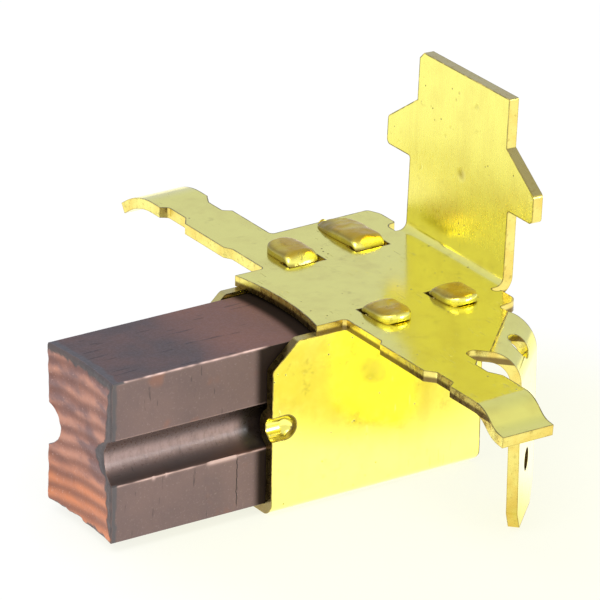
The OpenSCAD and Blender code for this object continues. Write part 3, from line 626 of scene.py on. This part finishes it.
# ---- pieces ----
class BRUSH_OT_carbon(bpy.types.Operator):
    """The carbon: grooved block with a hollow ridged contact face and worn, chipped edges"""

    bl_idname = "brush.carbon"
    bl_label = "Carbon"

    def execute(self, context):
        look = context.scene.carbon_look
        width, height = (CARBON_HI - CARBON_LO)[1:]
        ring, reach = brick_profile(width, height, look.edge, look.groove_r, look.groove_d, look.pitch)
        plain = ring.copy()
        inside = np.abs(ring[:, 1]) < reach + 1e-7
        plain[:, 0] = np.where(inside, np.sign(ring[:, 0]) * width / 2, ring[:, 0])

        shares = np.concatenate([[0.004, 0.012, 0.022, 0.034, 0.048, 0.064], np.arange(0.084, 0.985, 0.021)])
        s = 1 - shares[::-1][:, None]
        face_y, face_z = ring[None, :, 0] * s, ring[None, :, 1] * s
        face_y = np.concatenate([face_y, ring[None, :, 0]])
        face_z = np.concatenate([face_z, ring[None, :, 1]])
        face_x, crest, border = self.contact_face(look, face_y, face_z, ring)
        front = np.stack([face_x, face_y, face_z + AXIS_Z], -1)

        stop = MOUTH_X + look.groove_end
        drop = 0.004 * MM
        grooved = np.concatenate([
            np.arange(CARBON_LO[0] + 0.04 * MM, MOUTH_X + 0.4 * MM, look.pitch),
            np.linspace(MOUTH_X + 0.6 * MM, stop - drop, 8),
        ])
        full = np.concatenate([[stop + drop], np.linspace(stop + 0.5 * MM, CARBON_HI[0] - look.edge, 8)])
        x = np.concatenate([grooved, full])[:, None]
        share = np.concatenate([np.ones(len(grooved)), np.zeros(len(full))])[:, None]
        y = ring[None, :, 0] * share + plain[None, :, 0] * (1 - share)
        z = np.broadcast_to(ring[None, :, 1], y.shape)
        reach_x = 3 * MM
        at = (x - CARBON_LO[0]) / reach_x
        x = np.where(at < 1, face_x[-1][None, :] * (1 - at) + (CARBON_LO[0] + reach_x) * at, x)
        sides = np.stack([np.broadcast_to(x, y.shape), y, z + AXIS_Z], -1)
        sides, lip, over = self.worn(sides, front[-1], width, height, reach)

        t = np.array([look.edge / (width / 2), 0.2, 0.45, 0.7, 1.0])[:, None, None]
        middle = np.array([0, AXIS_Z])
        rim = plain + [0, AXIS_Z]
        a = np.arctan2(plain[:, 1], plain[:, 0])
        circle = middle + look.bore * np.stack([np.cos(a), np.sin(a)], -1)
        back = rim[None] * (1 - t) + circle[None] * t
        wall = np.repeat(circle[None], 2, 0)
        floor = middle + (circle[None] - middle) * 0.4
        rear_yz = np.concatenate([back, wall, floor])
        rear_x = np.concatenate([
            np.full(len(back), CARBON_HI[0]), [CARBON_HI[0] - 0.1 * MM], np.full(2, CARBON_HI[0] - look.bore_depth)
        ])
        rear = np.concatenate([np.broadcast_to(rear_x[:, None, None], (*rear_yz.shape[:2], 1)), rear_yz], -1)

        grid = np.concatenate([front, sides, rear])
        verts, faces = capped(grid)
        obj = new_piece("carbon", verts, faces, "brush", "carbon_brush", carbon_material(look), 40)
        names = ("face", "crest", "border", "lip", "groove", "hollow", "rim")
        values = {name: np.zeros(grid.shape[:2]) for name in names}
        n = len(front)
        values["face"][: n - 1] = 1
        values["face"][n - 1] = 0.5
        values["crest"][:n] = crest
        values["border"][:n] = border
        values["lip"][n : n + len(lip)] = lip
        values["rim"][n : n + len(sides)] = over
        depth = np.clip((width / 2 - np.abs(ring[:, 0])) / (0.25 * MM), 0, 1) * (np.abs(ring[:, 1]) < reach)
        values["groove"][n : n + len(grooved)] = depth[None, :]
        values["hollow"][n : n + len(grooved)] = np.clip(ring[:, 1] / reach, -1, 1)[None, :]
        for key, value in values.items():
            layer = obj.data.attributes.new(key, "FLOAT", "POINT")
            flat = np.concatenate([value.reshape(-1), value[0, :1], [0.0]])
            layer.data.foreach_set("value", flat.astype(np.float32))
        return {"FINISHED"}

    def contact_face(self, look, y, z, ring):
        """The contact face: x rises from the rim by a circle of the commutator's radius, sqrt(r^2 - y^2), plus a
        cosine row of soft valleys that slopes across the face and fades at the rims, plus rounded broken rims."""
        r = look.commutator
        half_w, half_h = CARBON_HI[1], (CARBON_HI[2] - CARBON_LO[2]) / 2
        hollow = np.sqrt(r * r - y * y) - math.sqrt(r * r - half_w * half_w)
        pitch = 2 * half_h / look.ridges
        p = np.stack([np.zeros_like(y), y, z], -1)
        across = (z + y * math.tan(look.tilt) + 0.22 * MM * noise(p, 2.4 * MM, 21)) / pitch
        crest = 0.5 + 0.5 * np.cos(2 * np.pi * across)
        size = np.hypot(ring[:, 0], ring[:, 1])[None, :]
        inset = np.maximum(size - np.hypot(y, z), 0)
        fade = step(0.0, 0.9 * MM, inset) * (0.65 + 0.35 * noise(p, 1.7 * MM, 22))
        valley = look.ridge_depth * (1 - crest) * np.maximum(fade, 0.25)
        top = (ring[:, 1] > half_h - 0.3 * MM).astype(float)
        near = (ring[:, 0] < 0).astype(float) * (1 - top)
        left = (ring[:, 0] > 0).astype(float) * (1 - top)
        ragged = noise(p, 0.45 * MM, 4)
        blunt = 0.32 * MM * left + 0.14 * MM * top + 0.10 * MM * near
        width = 0.42 * MM * left + 0.30 * MM * (top + near)
        rim = blunt * (0.8 + 0.35 * ragged) * np.clip(1 - inset / width[None, :], 0, 1) ** 2
        rough = 0.02 * MM * np.abs(noise(p, 0.3 * MM, 6)) + 0.03 * MM * np.abs(noise(p, 0.8 * MM, 7))
        low = (ring[:, 1] < 0.3 * MM - half_h).astype(float)
        reach = (0.52 * top + 1.05 * near * (1 - low) + 0.16 * left + 0.2 * near * low)[None, :] * MM
        border = step(0.12 * MM, -0.12 * MM, inset - reach - 0.16 * MM * ragged - 0.10 * MM * noise(p, 0.2 * MM, 9))
        wear = (0.35 + 0.65 * noise(p, 0.7 * MM, 12) ** 2) * border
        return CARBON_LO[0] + hollow + valley + rim + rough + wear * 0.05 * MM, crest, border

    def worn(self, grid, rim, width, height, reach):
        """Moves the sides' corners inward by smooth noise, more at the front rim, with chips along the lower lip
        of the near groove that thicken toward the mouth. Also returns the bright share of the lips, which is partly
        chipped copper and partly painted highlight, and the share by which the dark border of the contact face runs
        over the rim."""
        centre = np.array([0.0, 0.0, AXIS_Z])
        inward = centre - grid
        inward[..., 0] = 0
        inward /= np.maximum(np.linalg.norm(inward, axis=-1, keepdims=True), 1e-9)
        to_rim = grid[..., 0] - rim[None, :, 0]
        near = np.exp(-to_rim / (0.25 * MM))
        seen = step(MOUTH_X + 0.3 * MM, MOUTH_X - 0.3 * MM, grid[..., 0])
        chips = np.clip(noise(grid, 0.8 * MM, 8) - 0.15, 0, 1) * 0.12 * MM
        skin = 0.006 * MM * (0.5 + 0.5 * noise(grid, 0.35 * MM, 5))
        y, z = grid[..., 1], grid[..., 2] - AXIS_Z
        at_side = np.abs(y + width / 2) < 0.09 * MM
        low_lip = np.exp(-((z + reach) ** 2) / (0.07 * MM) ** 2) * at_side
        high_lip = np.exp(-((z - reach) ** 2) / (0.05 * MM) ** 2) * at_side
        below, beside = z - height / 2 + 0.03 * MM, y + width / 2 - 0.03 * MM
        top_edge = np.exp(-(below**2 + beside**2) / (0.075 * MM) ** 2)
        line = np.stack([grid[..., 0], np.zeros_like(y), np.zeros_like(y)], -1)
        toward_mouth = step(MOUTH_X - 3.4 * MM, MOUTH_X - 1.2 * MM, grid[..., 0])
        beads = step(0.15, 0.45, noise(line, 0.33 * MM, 31)) * toward_mouth
        few = step(0.45, 0.65, noise(line, 0.5 * MM, 33))
        chip = np.maximum(beads, few * 0.7)
        dent = low_lip * chip * 0.14 * MM + top_edge * few * 0.05 * MM
        out = grid + inward * ((near * chips + skin) * seen + dent)[..., None]
        spread = np.exp(-((z + reach + 0.05 * MM) ** 2) / (0.16 * MM) ** 2) * at_side * chip
        # painted highlight along the groove lips and the near top edge, mixed with bright chipped copper
        lip = low_lip * (0.55 + 0.45 * noise(line, 0.6 * MM, 41)) + 0.2 * high_lip
        lip = np.maximum(lip, spread)
        lip = np.maximum(lip, top_edge * (0.62 + 0.5 * noise(line, 0.5 * MM, 43)))
        lip = np.clip(lip, 0, 1) * seen * step(0.0, 0.4 * MM, to_rim)
        side_of = (y < -width / 2 + 0.15 * MM) * 0.38 + (z > height / 2 - 0.1 * MM) * 0.55
        limit = (side_of + 0.30 * side_of * noise(grid, 0.5 * MM, 71)) * MM
        over = step(0.06 * MM, -0.10 * MM, to_rim - limit) * (side_of > 0)
        return out, lip * (1 - 0.8 * over), over


SHEET, CUT, RIM = 0, 1, 2  # places of a pressing's materials


def mark_cut_edges(mesh, thickness):
    """Marks as cut edges the faces whose way through the metal is longer than the sheet is thick. The way is
    measured from the middle of a face's largest triangle."""
    inside = 0.01 * MM
    tree = BVHTree.FromPolygons([v.co for v in mesh.vertices], [p.vertices for p in mesh.polygons])
    mesh.calc_loop_triangles()
    largest = {}
    for tri in mesh.loop_triangles:
        if tri.area > largest.get(tri.polygon_index, (0, None))[0]:
            largest[tri.polygon_index] = (tri.area, tri)
    for index, (_, tri) in largest.items():
        middle = sum((mesh.vertices[i].co for i in tri.vertices), Vector()) / 3
        place, _, _, through = tree.ray_cast(middle - tri.normal * inside, -tri.normal)
        if place is None or through > thickness * 1.25:
            mesh.polygons[index].material_index = CUT


def values_of(items, key, kind=float, wide=1):
    values = np.zeros(len(items) * wide, kind)
    items.foreach_get(key, values)
    return values


def weighted_normals(mesh, bend):
    """Normals of the faces' corners: the sum of area times normal over the faces that meet at the corner and turn
    by less than `bend`."""
    n_loops, n_verts = len(mesh.loops), len(mesh.vertices)
    vert = values_of(mesh.loops, "vertex_index", int)
    total = values_of(mesh.polygons, "loop_total", int)
    area = values_of(mesh.polygons, "area")
    normal = values_of(mesh.polygons, "normal", wide=3).reshape(-1, 3)
    face = np.repeat(np.arange(len(mesh.polygons)), total)
    n = normal[face]
    order = np.argsort(vert, kind="stable")
    count = np.bincount(vert, minlength=n_verts)
    place = np.arange(n_loops) - np.repeat(np.cumsum(count) - count, count)
    table = np.full((n_verts, count.max()), -1)
    table[vert[order], place] = order
    used = table >= 0
    near = n[table] * used[..., None]
    dots = np.einsum("vid,vjd->vij", near, near)
    weight = (dots > math.cos(bend)) * (area[face][table] * used)[:, None, :]
    mixed = np.einsum("vij,vjd->vid", weight, near)
    out = np.zeros((n_loops, 3))
    out[table[used]] = mixed[used]
    return (out / np.maximum(np.linalg.norm(out, axis=1, keepdims=True), 1e-12)).tolist()


def dressed_copy(name, node, thickness, rim, materials, change=None):
    """A copy of a pressing with its triangles merged into flat faces, a dark strip along its cut edges that paints
    their dark reflection, and its bends shaded smooth."""
    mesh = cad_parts[node].data.copy()
    mesh.name = name
    flat = math.radians(0.5)
    with edited(mesh) as b:
        bmesh.ops.remove_doubles(b, verts=b.verts, dist=1e-6)
        if change:
            change(b)
        bmesh.ops.dissolve_limit(b, angle_limit=flat, use_dissolve_boundaries=False, verts=b.verts, edges=b.edges)
    obj = placed(name, mesh)
    dress(obj, *materials)
    mark_cut_edges(mesh, thickness)
    with edited(mesh) as b:
        # the carbon slides close over the box's inner floor, which stays as it is
        inner_floor = {f for f in b.faces if f.normal.z > 0.9 and f.calc_center_median().z < MM}
        sheet = [f for f in b.faces if f.material_index == SHEET and f not in inner_floor]
        # the inset strips take the rim material: a painted dark reflection along the cut edges
        strips = bmesh.ops.inset_region(b, faces=sheet, thickness=rim, use_boundary=True, use_even_offset=False)
        for face in strips["faces"]:
            face.material_index = RIM
    mesh.polygons.foreach_set("use_smooth", np.ones(len(mesh.polygons), bool))
    mesh.set_sharp_from_angle(angle=SMOOTH_BELOW)
    mesh.normals_split_custom_set(weighted_normals(mesh, SMOOTH_BELOW))
    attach(obj, "holder")
    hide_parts(node)


class BRUSH_OT_plate(bpy.types.Operator):
    """The terminal plate, stamped and bent from one sheet"""

    bl_idname = "brush.plate"
    bl_label = "Terminal plate"

    def execute(self, context):
        look = context.scene.brass_look
        face_x = PLATE_HI[0] - PLATE_SHEET
        # y, height above the plate, radius and depth of each dent in the upright, in mm
        marks = (
            (-0.3, 6.3, 0.7, 0.06), (1.33, 9.3, 0.25, 0.03), (1.85, 8.5, 0.3, 0.03), (0.5, 12.2, 0.2, 0.02),
            (0.8, 11.6, 0.2, 0.02), (3.8, 10.1, 0.2, 0.02), (-0.6, 1.4, 0.2, 0.02),
        )
        dents = [((face_x, y * MM, PLATE_TOP + up * MM), r * MM, depth * MM) for y, up, r, depth in marks]
        materials = (
            brass_material("plate_brass", look, look.plate, 8.0, dents),
            # painted shade inside the blade's hole
            cut_material("plate_cut", look, 5.0, under=0.93, dark=((BLADE_HOLE, 0.9 * MM),)),
            rim_material(look),
        )
        dressed_copy("plate", "terminal_plate", PLATE_SHEET, look.rim, materials)
        return {"FINISHED"}


class BRUSH_OT_box(bpy.types.Operator):
    """The folded box with its four clinched tabs"""

    bl_idname = "brush.box"
    bl_label = "Box"

    def execute(self, context):
        look = context.scene.brass_look
        materials = (
            brass_material("box_brass", look, look.box, 3.0),
            # painted dark reflection on the box's front cut edges
            cut_material("box_cut", look, 2.0, front=0.9),
            rim_material(look),
        )
        dressed_copy("box", "brush_box", BOX_SHEET, look.rim, materials, self.cut_off_tabs)
        verts, faces = [], []
        for tab in self.tabs():
            v, f = capped(self.tab_surface(**tab), sum(len(part) for part in verts))
            verts.append(v)
            faces += f
        verts = np.concatenate(verts)
        new_piece("tabs", verts, faces, "holder", "brush_box", tab_material(look), 60)
        return {"FINISHED"}

    def cut_off_tabs(self, b):
        """Cuts the tabs off just below the wall top and closes the walls there."""
        level = (0, 0, WALL_TOP - 0.004 * MM)
        everything = b.verts[:] + b.edges[:] + b.faces[:]
        bmesh.ops.bisect_plane(b, geom=everything, plane_co=level, plane_no=(0, 0, 1), clear_outer=True)
        bmesh.ops.triangle_fill(b, edges=[e for e in b.edges if e.is_boundary], use_beauty=True)
        bmesh.ops.recalc_face_normals(b, faces=b.faces)

    def tabs(self):
        front, rear = MOUTH_X + 7.5 * MM + TAB_WIDTH / 2, MOUTH_X + 13.2 * MM + TAB_WIDTH / 2
        return (
            dict(x=front, side=1, reach=3.1 * MM, nose=0.55, crown=0.10 * MM, seed=1),
            dict(x=rear, side=1, reach=3.9 * MM, nose=0.8, crown=0.05 * MM, seed=2, drawn=1.1 * MM),
            dict(x=front, side=-1, reach=2.85 * MM, nose=0.6, crown=0.08 * MM, seed=3),
            dict(x=rear, side=-1, reach=2.7 * MM, nose=0.6, crown=0.08 * MM, seed=4),
        )

    def tab_surface(self, x, side, reach, nose, crown, seed, drawn=0.0):
        """A pressed tab: its middle line climbs out of the wall, turns through a quarter circle and runs out over
        the plate. Each cross section is a superellipse |p|^n + |q|^n = 1, as wide as the tab and as thick as the
        sheet, with n = 3 above and n = 14 below, where it lies on the plate. `crown` swells its top by 1 - p^2.
        Near the tip width and thickness shrink along a rounded `nose`. `drawn` pulls the front corner of the end
        outward and flattens it, by the square of the way along the tab."""
        half_t = BOX_SHEET / 2
        radius = 0.3 * MM + half_t
        wall = WALL_IN + half_t
        turn_y = wall + radius
        run_z = PLATE_TOP - 0.02 * MM + half_t
        turn_z = run_z - radius
        foot = WALL_TOP - 0.3 * MM  # sunk into the wall
        climb = turn_z - foot
        run = WALL_OUT + reach - turn_y
        arc = radius * math.pi / 2
        total = climb + arc + run
        d = np.concatenate([
            np.linspace(0, climb, 4, endpoint=False), climb + np.linspace(0, arc, 14, endpoint=False),
            climb + arc + run * (1 - (1 - np.linspace(0, 1, 40)) ** 1.6),
        ])
        angle = np.clip((d - climb) / arc, 0, 1) * math.pi / 2
        y = np.where(d < climb, wall, turn_y - radius * np.cos(angle)) + np.maximum(d - climb - arc, 0)
        z = np.where(d < climb, foot + d, turn_z + radius * np.sin(angle))
        end = np.clip((total - d) / (nose * TAB_WIDTH), 0, 1)
        w = TAB_WIDTH / 2 * (1 - (1 - end) ** 2.4) ** (1 / 2.4)
        w = np.maximum(w, 0.02 * MM)
        thin = 1 - (1 - np.clip((total - d) / (0.45 * MM), 0, 1)) ** 2.0
        t = half_t * np.maximum(np.sqrt(thin), 0.05)
        a = np.linspace(0, 2 * np.pi, 56, endpoint=False)[None, :]
        power = np.where(np.sin(a) > 0, 2 / 3.0, 2 / 14.0)
        p = np.sign(np.cos(a)) * np.abs(np.cos(a)) ** power
        q = np.sign(np.sin(a)) * np.abs(np.sin(a)) ** power
        swell = crown * (1 - p**2) * step(climb, climb + arc, d)[:, None] * (q > 0)
        off = q * t[:, None] + swell * (t[:, None] / half_t)
        px = x + p * w[:, None]
        py = y[:, None] - off * np.cos(angle)[:, None]
        pz = z[:, None] + off * np.sin(angle)[:, None]
        grid = np.stack([px, py, pz], -1)
        over = step(climb, climb + arc, d)[:, None]
        grid[..., 2] += 0.035 * MM * noise(grid, 0.9 * MM, seed + 50) * over * (q > 0)
        grid[..., 0] += 0.05 * MM * noise(grid, 1.1 * MM, seed + 60) * over
        pull = drawn * np.clip((d - climb - arc) / run, 0, 1)[:, None] ** 2 * (0.5 - 0.5 * p)
        grid[..., 0] -= 0.45 * pull
        grid[..., 1] += pull + 0.12 * pull * noise(grid, 0.6 * MM, seed + 70)
        grid[..., 2] -= 0.36 * pull * (q > 0) * (1 + 0.5 * noise(grid, 0.5 * MM, seed + 80))
        grid[..., 1] *= side
        return grid


class BRUSH_OT_spring(bpy.types.Operator):
    """The pressure spring and the shunt lead inside the box"""

    bl_idname = "brush.spring"
    bl_label = "Spring and lead"

    def execute(self, context):
        self.spring()
        self.lead()
        return {"FINISHED"}

    def spring(self):
        """Round wire along a helix about the box axis. The rise is one wire a turn in the first and last turn and
        even between them."""
        wire, turns = 0.55 * MM, 6
        r = (SPRING_HI[1] - SPRING_LO[1]) / 2 - wire / 2
        t = np.linspace(0, 1, turns * 40 + 1)
        rise = np.where((t < 1 / turns) | (t > 1 - 1 / turns), wire * turns, 1.0)
        free = (t >= 1 / turns) & (t <= 1 - 1 / turns)
        length = SPRING_HI[0] - SPRING_LO[0] - wire
        rise[free] = (length - 2 * wire) / (1 - 2 / turns)
        x = np.concatenate([[0], np.cumsum((rise[1:] + rise[:-1]) / 2 * np.diff(t))])
        x = x * length / x[-1] + SPRING_LO[0] + wire / 2
        a = 2 * np.pi * turns * t
        out = np.stack([np.zeros_like(a), np.cos(a), np.sin(a)], -1)
        path = out * r + np.stack([x, np.zeros_like(a), np.full_like(a, AXIS_Z)], -1)
        across = np.broadcast_to(np.array([1.0, 0, 0]), path.shape)
        grid = tube(path, across, out, wire / 2, 14)
        verts, faces = capped(grid)
        material = plain_metal("spring_steel", (0.6, 0.6, 0.58), 0.3, 4000)
        obj = new_piece("spring", verts, faces, "holder", "pressure_spring", material)
        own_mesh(obj)

    def lead(self):
        """A braid: radius R + h * max(cos 6(a + kx), cos 6(a - kx)), between a plain slug in the bore of the
        carbon and a flat pad on the spring seat. k is one turn in 5 mm."""
        slug, braid, pad = 1.14 * MM, 0.71 * MM, 1.4 * MM
        pad_x = SEAT_X - 0.5 * MM
        bore_x = CARBON_HI[0] - 0.6 * MM
        x = np.concatenate([
            [LEAD_LO[0], LEAD_LO[0] + 0.02 * MM], np.linspace(LEAD_LO[0] + 0.1 * MM, bore_x, 5),
            np.linspace(bore_x + 0.2 * MM, pad_x - 0.3 * MM, 150), [pad_x - 0.1 * MM, pad_x, pad_x + 0.08 * MM],
            [SEAT_X - 0.08 * MM, SEAT_X],
        ])
        r = np.full(len(x), braid)
        r[:7] = slug
        r[0] = slug - 0.1 * MM
        r[-5] = 0.9 * MM
        r[-4:] = pad
        r[-4] = pad - 0.1 * MM
        r[-1] = pad - 0.05 * MM
        a = np.linspace(0, 2 * np.pi, 48, endpoint=False)[None, :]
        k = 2 * np.pi / (5 * MM)
        weave = np.maximum(np.cos(6 * (a + k * x[:, None])), np.cos(6 * (a - k * x[:, None])))
        woven = ((np.arange(len(x)) >= 7) & (np.arange(len(x)) < len(x) - 5)).astype(float)[:, None]
        radius = r[:, None] + 0.05 * MM * (weave - 1) * woven + 0.04 * MM * woven
        along = np.broadcast_to(x[:, None], radius.shape)
        grid = np.stack([along, radius * np.cos(a), AXIS_Z + radius * np.sin(a)], -1)
        verts, faces = capped(grid)
        material = plain_metal("copper_braid", (0.8, 0.42, 0.25), 0.4, 3000)
        obj = new_piece("lead", verts, faces, "holder", "shunt_lead", material)
        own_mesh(obj)


class BRUSH_OT_stage(bpy.types.Operator):
    """The floor, the soft light and the camera"""

    bl_idname = "brush.stage"
    bl_label = "Stage"

    def execute(self, context):
        look = context.scene.stage_look
        scene = context.scene
        scene.view_settings.view_transform = "Standard"
        self.camera(scene, look)
        self.world(scene, look)
        self.floor()
        self.lamps(scene)
        return {"FINISHED"}

    def camera(self, scene, look):
        data = bpy.data.cameras.new("camera")
        data.lens = look.lens
        data.sensor_width = 36
        data.clip_start = 0.01
        data.clip_end = 20
        obj = bpy.data.objects.new("camera", data)
        scene.collection.objects.link(obj)
        ahead = Vector((math.sin(look.turn), math.cos(look.turn), 0))
        right = Vector((math.cos(look.turn), -math.sin(look.turn), 0))
        back = -ahead * math.cos(look.rise) + Vector((0, 0, math.sin(look.rise)))
        up = ahead * math.sin(look.rise) + Vector((0, 0, math.cos(look.rise)))
        c, s = math.cos(look.roll), math.sin(look.roll)
        x_axis = c * right - s * up
        y_axis = s * right + c * up
        matrix = Matrix((x_axis, y_axis, back)).transposed().to_4x4()
        matrix.translation = Vector(LOOKED_AT) + back * look.distance
        obj.matrix_world = matrix
        scene.camera = obj

    def world(self, scene, look):
        """An even room: one colour behind the holder, another on the viewer's side, white where it is seen."""
        world = bpy.data.worlds.new("studio")
        scene.world = world
        world.use_nodes = True
        g = Graph(world.node_tree)
        path = g.add("ShaderNodeLightPath").outputs
        seen = g.math("MAXIMUM", path["Is Camera Ray"], path["Is Transmission Ray"])
        toward = g.add("ShaderNodeTexCoord").outputs["Generated"]
        behind = g.level(g.vector("DOT_PRODUCT", toward, (0.62, 0.78, 0.1)), -0.5, 0.75)
        room = g.blend(behind, look.near_sky, look.far_sky)
        g.put(g.blend(seen, room, (1, 1, 1)), g.tree.nodes["Background"].inputs["Color"])

    def floor(self):
        """A level disc: corners at even turns on rings whose radii grow outward. Mirrors see it brighter on the
        viewer's side and darker in the shade of the right arm."""
        cols = 96
        turn = np.linspace(0, 2 * np.pi, cols, endpoint=False)[None, :]
        ring = np.array([0.02, 0.05, 0.1, 0.3, 1.2])[:, None]
        x, y = ring * np.cos(turn), ring * np.sin(turn)
        z = np.full(x.shape, min(BOX_LO[2], PLATE_LO[2]) - 0.02 * MM)
        verts = np.concatenate([np.stack([x, y, z], -1).reshape(-1, 3), [[0, 0, z[0, 0]]]])
        faces = sleeve_faces(len(ring), cols)[:, ::-1].tolist()
        c = np.arange(cols)
        faces += np.stack([c, (c + 1) % cols, np.full(cols, len(ring) * cols)], -1).tolist()
        mesh = bpy.data.meshes.new("floor")
        mesh.from_pydata(verts.tolist(), [], faces)
        obj = placed("floor", mesh)
        m = Nodes("paper")
        for key, value in (("Base Color", (0.92, 0.92, 0.90, 1)), ("Roughness", 0.7), ("Specular IOR Level", 0.2)):
            m.set(key, value)
        # painted light: the floor the camera sees is tinted yellow round the holder, a painted glow of light thrown
        # off the brass
        glow = m.away((0.004, -0.008, 0), 0.018, 0.034, 1.0, 0.0)
        shade = m.away((0.009, -0.023, 0), 0.006, 0.015, 1.0, 0.0)
        seen = m.add("ShaderNodeEmission", {"Color": m.blend(glow, (1, 1, 1), (1.0, 1.0, 0.86))})
        shaded = m.coats((1, 1, 1), ((0.62, 0.53, 0.13), shade, 0.9))
        bright = m.along(1, 0.008, -0.008, 1.16, 1.6)
        mirrored = m.add("ShaderNodeEmission", {"Color": shaded, "Strength": bright})
        path = m.add("ShaderNodeLightPath").outputs
        surface = m.shader
        for ray, share, light in (("Is Camera Ray", 0.85, seen), ("Is Glossy Ray", 0.95, mirrored)):
            given = {0: m.times(path[ray], share), 1: surface.outputs[0], 2: light.outputs[0]}
            surface = m.add("ShaderNodeMixShader", given)
        m.put(surface.outputs[0], m.tree.nodes["Material Output"].inputs["Surface"])
        dress(obj, m.material)

    def lamps(self, scene):
        for name, place, size, power in (
            ("key", (-0.25, -0.10, 0.45), 0.35, 1.4),
            ("strip", (0.32, -0.50, 0.10), 0.16, 0.9),
        ):
            data = bpy.data.lights.new(name, "AREA")
            data.shape = "DISK"
            data.size = size
            data.energy = power
            obj = bpy.data.objects.new(name, data)
            aim = (-Vector(place)).to_track_quat("-Z", "Y").to_matrix().to_4x4()
            obj.matrix_world = Matrix.Translation(place) @ aim
            scene.collection.objects.link(obj)


class BRUSH_PT_panel(bpy.types.Panel):
    """Sizes, colours and the pieces"""

    bl_idname = "BRUSH_PT_panel"
    bl_label = "Carbon Brush"
    bl_space_type = "VIEW_3D"
    bl_region_type = "UI"
    bl_category = "Carbon Brush"

    def draw(self, context):
        for group in LOOKS:
            props = getattr(context.scene, group)
            column = self.layout.column()
            for key in props.__annotations__:
                column.prop(props, key)
        for cls in OPERATORS:
            self.layout.operator(cls.bl_idname)


OPERATORS = (BRUSH_OT_stage, BRUSH_OT_carbon, BRUSH_OT_box, BRUSH_OT_plate, BRUSH_OT_spring)
LOOKS = {"carbon_look": CarbonLook, "brass_look": BrassLook, "stage_look": StageLook}
CLASSES = (*LOOKS.values(), *OPERATORS, BRUSH_PT_panel)


def register():
    for cls in CLASSES:
        bpy.utils.register_class(cls)
    for name, look in LOOKS.items():
        setattr(bpy.types.Scene, name, PointerProperty(type=look))


def unregister():
    for name in LOOKS:
        delattr(bpy.types.Scene, name)
    for cls in reversed(CLASSES):
        bpy.utils.unregister_class(cls)


def main():
    register()
    bpy.ops.brush.stage()
    bpy.ops.brush.carbon()
    bpy.ops.brush.box()
    bpy.ops.brush.plate()
    bpy.ops.brush.spring()


if __name__ == "__main__":
    main()
